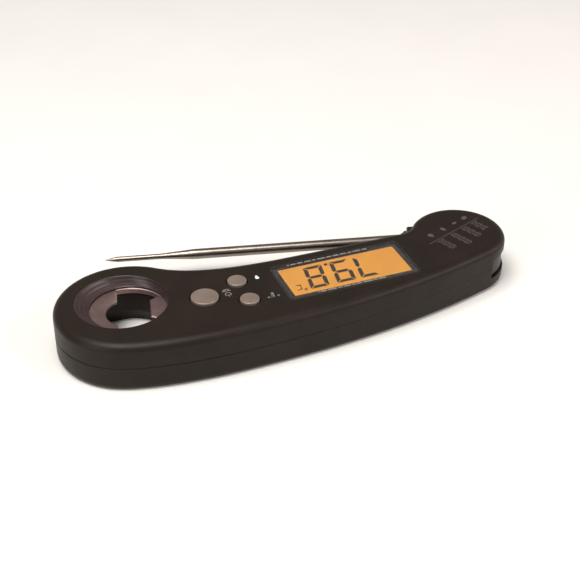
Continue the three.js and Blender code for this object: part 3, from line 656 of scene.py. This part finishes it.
# ---- Keys ----
def make_key(name, x, y, r):
    """A round key: a flange under the face and a cap with a rolled edge and a slightly hollowed top."""
    cap = r - 0.15
    top = THICKNESS + 0.7
    roll = 0.45
    profile = [(14.9, r + 0.9), (14.95, r + 1), (15.75, r + 1), (15.8, r + 0.9), (15.85, cap)]
    profile += [(top - roll + roll * math.sin(a), cap - roll * (1 - math.cos(a)))
                for a in quarter_turn(6)]
    hollow = 0.18
    profile += [(top - hollow * (1 - (1 - u) ** 2), (cap - roll) * (1 - u))
                for u in (0.06, 0.15, 0.3, 0.5, 0.7, 0.9, 1.0)]
    key = turned(name, profile, x, y, 96)
    return finish_piece(smooth(key, 40), name + "_cap", name, MATERIALS["key_plastic"],
                        [name])


# ---- Display ----
def window_levels(bottom, top, margin, radius, soft):
    """Levels of the window's outline, with its upper edge softened."""
    x0, x1, y0, y1 = DISPLAY
    levels = [(bottom, 0.0), (top - soft, 0.0), (top - soft * 0.3, soft * 0.3), (top, soft)]
    return [(z, rectangle(x0 - margin + e, x1 + margin - e, y0 - margin + e, y1 + margin - e, radius - e))
            for z, e in levels]


def make_window():
    """The clear pane. Its side faces are glossy black, painted shade for the narrow gap round it; its
    border is black print.
    """
    pane = stack("window", window_levels(16.95, PANE_TOP, WINDOW_MARGIN, 1.8, 0.1))
    finish_piece(smooth(pane), "display_pane", "handle", MATERIALS["window_plastic"],
                 ["display_window"])
    # The side faces take the black: painted shade standing in for the dark gap round the pane.
    pane.data.materials.append(BLACK_PRINT_AND_EDGE_SHADE)
    for face in pane.data.polygons:
        if abs(face.normal.z) < 0.99:
            face.material_index = 1


def display_ring(z0, z1, outer, outer_r, inner, inner_r):
    """A flat ring round the display, between two margins."""
    x0, x1, y0, y1 = DISPLAY
    ring = prism(rectangle(x0 - outer, x1 + outer, y0 - outer, y1 + outer, outer_r), z0, z1)
    hole = rectangle(x0 - inner, x1 + inner, y0 - inner, y1 + inner, inner_r)
    return cut(ring, prism(hole, z0 - 1, z1 + 1))


def make_border():
    """The black border printed on the underside of the window."""
    border = display_ring(16.90, 16.93, WINDOW_MARGIN, 1.8, 0.0, 0.5)
    return finish_piece(border, "window_border", "handle", BLACK_PRINT_AND_EDGE_SHADE)


def make_bead():
    """The bead of adhesive that seals the window in its recess."""
    bead = display_ring(16.91, 17.84, WINDOW_MARGIN + 0.23, 2.0, WINDOW_MARGIN + 0.02, 1.82)
    return finish_piece(smooth(bead), "window_bead", "handle", MATERIALS["seal_rubber"])


DIGIT_H = 13.2
DIGIT_W = 7.0
STROKE = 1.5
SLANT = math.tan(math.radians(9))
SEGMENTS = {"7": "abc", "9": "abcdfg", "8": "abcdefg"}


def segment_outline(which, w=DIGIT_W, h=DIGIT_H, t=STROKE):
    """One bar of a seven-segment digit, with mitred ends, before slanting."""
    gap = 0.16 * t
    mid = h / 2
    if which in "adg":
        y = {"a": h - t / 2, "g": mid, "d": t / 2}[which]
        x0, x1 = t / 2 + gap, w - t / 2 - gap
        if which == "g":
            return [(x0, y), (x0 + t / 2, y - t / 2), (x1 - t / 2, y - t / 2),
                    (x1, y), (x1 - t / 2, y + t / 2), (x0 + t / 2, y + t / 2)]
        out = 1 if which == "a" else -1
        shape = [(x0 - t / 2, y + out * t / 2), (x0 + t / 2, y - out * t / 2),
                 (x1 - t / 2, y - out * t / 2), (x1 + t / 2, y + out * t / 2)]
        return shape if which == "a" else shape[::-1]
    x = w - t / 2 if which in "bc" else t / 2
    y0, y1 = (mid + gap, h - t / 2 - gap) if which in "bf" else (t / 2 + gap, mid - gap)
    out = 1 if which in "bc" else -1
    if which in "bf":
        shape = [(x, y0), (x + out * t / 2, y0 + t / 2), (x + out * t / 2, y1 + t / 2),
                 (x - out * t / 2, y1 - t / 2), (x - out * t / 2, y0 + t / 2)]
    else:
        shape = [(x, y1), (x - out * t / 2, y1 - t / 2), (x - out * t / 2, y0 + t / 2),
                 (x + out * t / 2, y0 - t / 2), (x + out * t / 2, y1 - t / 2)]
    return shape if out == 1 else shape[::-1]


def plates(name, outlines, z0, z1, matrix=None):
    """Thin flat marks, each a closed plate, joined as one piece."""
    mesh = bmesh.new()
    for points in outlines:
        low, high = ([mesh.verts.new((x * MM, y * MM, z * MM)) for x, y in points] for z in (z0, z1))
        n = len(points)
        for i in range(n):
            mesh.faces.new((low[i], low[(i + 1) % n], high[(i + 1) % n], high[i]))
        mesh.faces.new(low[::-1])
        mesh.faces.new(high)
    bmesh.ops.recalc_face_normals(mesh, faces=mesh.faces)
    if matrix is not None:
        bmesh.ops.transform(mesh, matrix=matrix, verts=mesh.verts)
    data = bpy.data.meshes.new(name)
    mesh.to_mesh(data)
    mesh.free()
    return new_object(name, data)


def placed(points, x, y, slant=0.0, scale=1.0, turn=0.0):
    c, s = math.cos(turn), math.sin(turn)
    moved = []
    for px, py in points:
        qx, qy = (px + slant * py) * scale, py * scale
        moved.append((x + c * qx - s * qy, y + s * qx + c * qy))
    return moved


def make_digits():
    base_y = 2.0
    outlines = []
    for digit, x in (("7", 36.6), ("9", 45.6), ("8", 55.6)):
        outlines += [placed(segment_outline(s), x, base_y, SLANT) for s in SEGMENTS[digit]]
    outlines.append(placed(rectangle(-0.62, 0.62, -0.62, 0.62), 54.0, base_y + 0.62, SLANT))
    small = dict(w=2.1, h=3.2, t=0.5)
    outlines += [placed(segment_outline(s, **small), 67.0, 11.2, SLANT) for s in "adef"]
    outlines += [placed(quarter, 66.3, 14.6, SLANT) for quarter in ring_quarters(0.0, 0.0, 0.28, 0.62)]
    digits = plates("digits", outlines, LCD_TOP + 0.01, LCD_TOP + 0.03)
    return finish_piece(digits, "display_digits", "handle", INK_DIGIT)


def ring_quarters(cx, cy, r0, r1):
    """A small ring as four closed quarters."""
    quarters = []
    for start in (0, 90, 180, 270):
        inner = arc(cx, cy, r0, start + 90, start, 6)
        outer = arc(cx, cy, r1, start, start + 90, 6)
        quarters.append(inner + outer)
    return quarters


# ---- Printed marks: generic signs in place of any wording ----
PRINT_Z = (THICKNESS - 0.01, THICKNESS + 0.02)


def bar(x0, x1, y, height):
    return rectangle(x0, x1, y - height / 2, y + height / 2, height * 0.3, 3)


def greeked_line(x0, x1, y, height, lengths):
    """A line of short bars of the given lengths, repeated to fill the stretch, in place of words."""
    marks = []
    x = x0
    i = 0
    while x < x1:
        stop = min(x + lengths[i % len(lengths)], x1)
        marks.append(bar(x, stop, y, height))
        x = stop + 0.55
        i += 1
    return marks


def stroke(p, q, width):
    (x0, y0), (x1, y1) = p, q
    length = math.hypot(x1 - x0, y1 - y0)
    ux, uy = (x1 - x0) / length * width / 2, (y1 - y0) / length * width / 2
    return [(x0 + uy, y0 - ux), (x1 + uy, y1 - ux), (x1 - uy, y1 + ux), (x0 - uy, y0 + ux)]


def ring_mark(cx, cy, r0, r1, start, stop, n=16):
    return arc(cx, cy, r0, stop, start, n) + arc(cx, cy, r1, start, stop, n)


def power_sign(x, y):
    """An open ring with an upright stroke, over two rows of short bars."""
    marks = [ring_mark(0, 0.9, 0.85, 1.15, 125, 415), stroke((0, 1.1), (0, 2.35), 0.3)]
    marks += [bar(-1.5, -0.3, -1.15, 0.42), bar(0.0, 1.5, -1.15, 0.42), bar(-1.1, 1.1, -1.95, 0.42)]
    return [placed(mark, x, y) for mark in marks]


def unit_sign(x, y):
    """A small thermometer with its graduations, between two degree rings."""
    marks = [ring_mark(0, -0.85, 0.01, 0.55, -240, 60, 14), stroke((0, -0.6), (0, 1.35), 0.4)]
    marks += [stroke((0.45, k), (1.0, k), 0.2) for k in (0.1, 0.65, 1.2)]
    marks += ring_quarters(-1.6, 1.0, 0.22, 0.45) + ring_quarters(1.9, 1.0, 0.22, 0.45)
    return [placed(mark, x, y) for mark in marks]


def lamp_sign(x, y):
    """A light bulb."""
    bulb = arc(0, 0.35, 0.72, -50, 230, 20) + [(-0.36, -0.45), (0.36, -0.45)]
    base = [(-0.32, -1.05), (0.32, -1.05), (0.36, -0.58), (-0.36, -0.58)]
    return [placed(bulb, x, y), placed(base, x, y)]


CHART_TILT = math.radians(21.7)
CHART_CENTRE = (1.6, -0.1)
CHART_PLACES = (-9.9, -4.4, 2.0, 8.6)


def chart_rows(along, rows, n):
    """A column of short bars in pairs, in place of the chart's wording."""
    marks = []
    for row in range(rows):
        width = 3.3 - 0.55 * ((row * 2 + n) % 3)
        gap = width * (0.36 + 0.14 * ((row + n) % 2))
        y = 1.1 + row * 0.92
        marks.append(bar(along - width / 2, along - width / 2 + gap, y, 0.46))
        marks.append(bar(along - width / 2 + gap + 0.4, along + width / 2, y, 0.46))
    return marks


def chart_marks():
    """The chart on the knuckle: a tilted rule, with four signs under it and four columns over it."""
    marks = [rectangle(-13.4, 13.4, -0.13, 0.13)]
    for n, (along, rows) in enumerate(zip(CHART_PLACES, (7, 9, 10, 8))):
        marks += chart_rows(along, rows, n)
        marks.append(rectangle(along - 0.3, along + 0.3, -0.3, 0.3))
    drop = arc(0, -0.25, 0.75, 150, 390, 16) + [(0, 1.15)]
    leaf = arc(-0.55, 0, 1.15, -55, 55, 8) + arc(0.55, 0, 1.15, 125, 235, 8)
    fish = arc(0, -0.75, 1.2, 40, 140, 8) + arc(0, 0.75, 1.2, 220, 320, 8)
    steak = [(0.95 * math.cos(a) * (1 + 0.18 * math.sin(2 * a)), 0.72 * math.sin(a))
             for a in (2 * math.pi * k / 22 for k in range(22))]
    for along, sign in zip(CHART_PLACES, (steak, fish, leaf, drop)):
        marks.append(placed(without_repeats(sign), along, -3.6, scale=1.35))
    return [placed(mark, *CHART_CENTRE, turn=CHART_TILT) for mark in marks]


def make_print():
    y0, y1 = DISPLAY[2:]
    z0, z1 = PRINT_Z
    labels = unit_sign(78.4, 14.4) + power_sign(92.5, 7.6)
    finish_piece(plates("labels", labels, z0, z1), "key_labels", "handle", INK_GREY)
    lamp = plates("lamp", lamp_sign(79.8, 2.2), z0, z1)
    finish_piece(lamp, "lamp_label", "handle", LAMP_INK_PAINTED_GLOW)
    lines = greeked_line(38.0, 63.4, y1 + 1.3, 0.62, (2.6, 1.5, 3.3, 2.0, 1.2))
    lines += greeked_line(36.6, 67.4, y0 - 1.25, 0.62, (1.9, 3.1, 1.3, 2.5, 2.2))
    rows = plates("lines", lines, PANE_TOP - 0.01, PANE_TOP + 0.02)
    finish_piece(rows, "display_lines", "handle", INK_GREY)
    chart = plates("chart", chart_marks(), z0, z1)
    finish_piece(chart, "knuckle_chart", "handle", INK_FAINT)


# ---- Probe ----
def along_probe():
    """Maps a solid of revolution about Z onto the probe's line, in the rest pose."""
    line = Matrix.Translation((0, PROBE_OFFSET * MM, SPLIT * MM)) @ Matrix.Rotation(math.pi / 2, 4, "Y")
    return Matrix.Rotation(PROBE_REST, 4, "Z") @ line


def rest_turn():
    return Matrix.Rotation(PROBE_REST, 4, "Z")


def make_tube():
    """The probe: a straight tube that steps down to a thin tip, hollow for the sensor."""
    outer = [(3.0, 1.75), (3.1, 1.9), (95.5, 1.9), (96.5, 1.885), (98.5, 1.78), (103.0, 1.42),
             (107.5, 1.1), (109.5, 1.015), (111.0, 1.0), (124.3, 1.0), (125.2, 0.97), (127.2, 0.62),
             (128.6, 0.3), (129.3, 0.12), (129.5, 0.02)]
    tube = turned("tube", outer, n=64, matrix=along_probe())
    inner = [(2.0, 1.1), (96.0, 1.1), (109.0, 0.62), (123.5, 0.62)]
    cut(tube, turned("cutter", inner, n=32, matrix=along_probe()))
    return finish_piece(smooth(tube, 35), "probe_stem", "probe", MATERIALS["stainless"],
                        ["probe_tube"])


def make_seal():
    """The silicone sleeve where the tube leaves the hub."""
    profile = [(16.5, 2.6), (16.55, 2.95), (16.75, 3.15), (17.05, 3.18), (17.3, 3.05),
               (17.6, 2.6), (17.9, 2.4), (18.3, 2.32), (18.45, 2.2), (18.45, 2.02)]
    sleeve = turned("sleeve", profile, n=64, matrix=along_probe())
    cut(sleeve, turned("cutter", [(15, 1.96), (20, 1.96)], n=64, matrix=along_probe()))
    return finish_piece(smooth(sleeve, 40), "probe_boot", "probe", MATERIALS["seal_rubber"],
                        ["probe_seal"])


def make_hub():
    low, high = HUB_Z
    soft = 0.9
    edge = quarter_turn(6)
    profile = [(low + soft * (1 - math.cos(a)), HUB_R - soft * (1 - math.sin(a))) for a in edge]
    profile += [(high - soft * (1 - math.sin(a)), HUB_R - soft * (1 - math.cos(a))) for a in edge]
    hub = turned("hub", profile, n=192, matrix=rest_turn())
    block_outline = [(4, -8.3), (4, -13.2), (10.6, -13.75), (15.3, -14.1), (15.8, -14.05), (16.1, -13.75),
                     (16.2, -13.3), (16.2, -9.6), (16.1, -9.1), (15.8, -8.6), (15.2, -8.3)]
    insets = [(low, 0.7), (low + 0.15, 0.35), (low + 0.35, 0.15), (low + 0.7, 0.0),
              (high - 0.7, 0.0), (high - 0.35, 0.15), (high - 0.15, 0.35), (high, 0.7)]
    shoulder = stack("cutter", [(z, offset(block_outline, inset)) for z, inset in insets], rest_turn())
    combine(hub, [("UNION", shoulder)])
    bore = turned("cutter", [(2.0, 2.2), (17.2, 2.2)], n=48, matrix=along_probe())
    washers = [disc(0, 0, 6.4, low - 1, low + 0.9, 64), disc(0, 0, 6.4, high - 0.9, high + 1, 64)]
    magnet = prism(circle(11.4, 5.1, 2.3, 32), 10.2, high + 1, rest_turn())
    lead = prism(rectangle(-0.8, 0.8, PROBE_OFFSET - 0.8, 0.8), SPLIT - 0.8, SPLIT + 0.8, rest_turn())
    grooves = []
    for z in (low - 1.2, high - 0.8):
        groove = disc(0, 0, 8.7, z, z + 2, 64)
        grooves.append(cut(groove, disc(0, 0, 7.3, z - 1, z + 3, 64)))
    cut(hub, disc(0, 0, 2.15, low - 1, high + 1, 48), bore, *washers, magnet, lead, *grooves)
    return finish_piece(smooth(hub), "probe_knuckle", "probe", MATERIALS["hub_plastic"],
                        ["probe_hub"])


# ---- Back ----
def phillips(x, y, top):
    """A cross recess that narrows as it deepens."""
    arms = []
    for turn in (0, math.pi / 2):
        levels = [(top - 1, 1.25, 0.28), (top, 1.25, 0.28), (top + 0.75, 0.7, 0.16)]
        outlines = [(z, placed(rectangle(-a, a, -b, b), x, y, turn=turn + 0.3)) for z, a, b in levels]
        arms.append(stack("cutter", outlines))
    return arms


def make_screw(number, x, y):
    z0, z1 = 0.7, 2.1
    profile = [(z0, 1.35), (z0 + 0.08, 1.75), (z0 + 0.25, 1.95), (z0 + 0.45, 2.0), (z1, 2.0),
               (z1 + 0.02, 1.0), (12.3, 1.0), (13.45, 0.25), (13.5, 0.1)]
    screw = turned("screw", profile, x, y, 40)
    cut(screw, *phillips(x, y, z0))
    name = f"case_screw_{number}"
    return finish_piece(smooth(screw), name + "_steel", "handle", MATERIALS["fastener_steel"],
                        [name])


def make_magnet(number, x, y):
    profile = [(0.0, 4.75), (0.08, 4.93), (0.25, 5.0), (1.95, 5.0), (2.12, 4.93), (2.2, 4.75)]
    magnet = turned("magnet", profile, x, y, 96)
    name = f"magnet_{number}"
    return finish_piece(smooth(magnet), name + "_disc", "handle", MATERIALS["magnet_nickel"],
                        [name])


def make_door():
    """The twist-lock battery door: a dished cap with a coin slot, a pointer mark and two tabs."""
    x, y = CELL
    profile = [(0.4, 12.3), (0.45, 12.55), (0.6, 12.75), (0.8, 12.8), (0.95, 12.8), (0.96, 11.7),
               (1.94, 11.7), (1.95, 12.8), (2.35, 12.8), (2.4, 12.7), (2.41, 9.0), (3.25, 9.0), (3.3, 8.9)]
    door = turned("door", profile, x, y, 128)
    tabs = [prism(sector(*TAB_R, at, TAB_HALF_DEG), 2.25, 3.3) for at in (0, 180)]
    combine(door, [("UNION", tab) for tab in tabs])
    slot_outline = rectangle(x - 8, x + 8, y - 1, y + 1, 0.95, 8)
    flared = [(-1, -0.25), (0.4, -0.25), (0.5, -0.08), (0.65, 0.0), (1.3, 0.0)]
    slot = stack("cutter", [(z, offset(slot_outline, inset)) for z, inset in flared])
    dished = turned("cutter", [(-1, 10.6), (0.4, 10.6), (0.62, 10.1)], x, y, 128)
    pointer = prism(placed([(-0.9, 0), (0.9, 0), (0, 1.3)], x + 11.2, y, turn=-math.pi / 2), -1, 0.55)
    cut(door, slot, dished, pointer)
    return finish_piece(smooth(door), "battery_cap", "battery_door", MATERIALS["shell_plastic"],
                        ["battery_door"])


make_front_shell()
make_back_shell()
make_opener()
for key_name, (key_x, key_y, key_r) in KEYS.items():
    make_key(key_name, key_x, key_y, key_r)
make_window()
make_border()
make_bead()
make_digits()
make_print()
make_tube()
make_seal()
make_hub()
for i, (sx, sy) in enumerate(CASE_SCREWS, 1):
    make_screw(i, sx, sy)
for i, (mx, my) in enumerate(MAGNETS, 1):
    make_magnet(i, mx, my)
make_door()


# ---- Stage ----
def floor_material():
    paint = Paint("floor_pale", (0.74, 0.73, 0.715), 0.6)
    haze = paint.noise(60, detail=2)
    paint.feed("Base Color", paint.colours(haze, [(0.3, (0.73, 0.72, 0.705)), (0.7, (0.75, 0.74, 0.725))]))
    return paint.material


def make_floor():
    size = 3.0
    mesh = bmesh.new()
    corners = ((-size, -size), (size, -size), (size, size), (-size, size))
    mesh.faces.new([mesh.verts.new((x, y, 0)) for x, y in corners])
    data = bpy.data.meshes.new("floor")
    mesh.to_mesh(data)
    mesh.free()
    floor = new_object("floor", data)
    floor.data.materials.append(floor_material())


def softbox(name, place, target, size, power, colour=(1, 1, 1)):
    light = bpy.data.lights.new(name, "AREA")
    light.shape = "RECTANGLE"
    light.size, light.size_y = size
    light.energy = power
    light.color = colour
    lamp = bpy.data.objects.new(name, light)
    bpy.context.scene.collection.objects.link(lamp)
    lamp.location = place
    lamp.rotation_euler = (Vector(target) - Vector(place)).to_track_quat("-Z", "Y").to_euler()


def make_world():
    world = bpy.data.worlds.new("studio")
    world.use_nodes = True
    background = world.node_tree.nodes["Background"]
    background.inputs["Color"].default_value = (1.0, 0.965, 0.92, 1)
    background.inputs["Strength"].default_value = 0.32
    bpy.context.scene.world = world


def make_camera():
    """Seen from beyond the upper edge, 34 degrees above the floor, so the display reads upside down."""
    data = bpy.data.cameras.new("camera")
    data.lens = CAMERA_LENS
    data.sensor_width = 36
    camera = bpy.data.objects.new("camera", data)
    bpy.context.scene.collection.objects.link(camera)
    camera.location = CAMERA_PLACE
    aim = Vector(CAMERA_AIM)
    camera.rotation_euler = (aim - camera.location).to_track_quat("-Z", "Y").to_euler()
    bpy.context.scene.camera = camera


make_floor()
softbox("key_light", (0.30, 0.10, 0.85), (0.07, 0, 0), (0.55, 0.55), 9.4, (1.0, 0.96, 0.91))
softbox("fill_light", (-0.60, 0.65, 0.55), (0.07, 0, 0), (0.7, 0.5), 4.6)
softbox("rim_light", (-0.85, 0.15, 0.32), (0.0, 0, 0), (0.3, 0.3), 1.6, (1.0, 0.80, 0.68))
softbox("side_light", (0.85, 0.35, 0.30), (0.07, 0, 0), (0.5, 0.3), 1.8)
make_world()
make_camera()
bpy.context.scene.view_settings.view_transform = "Standard"
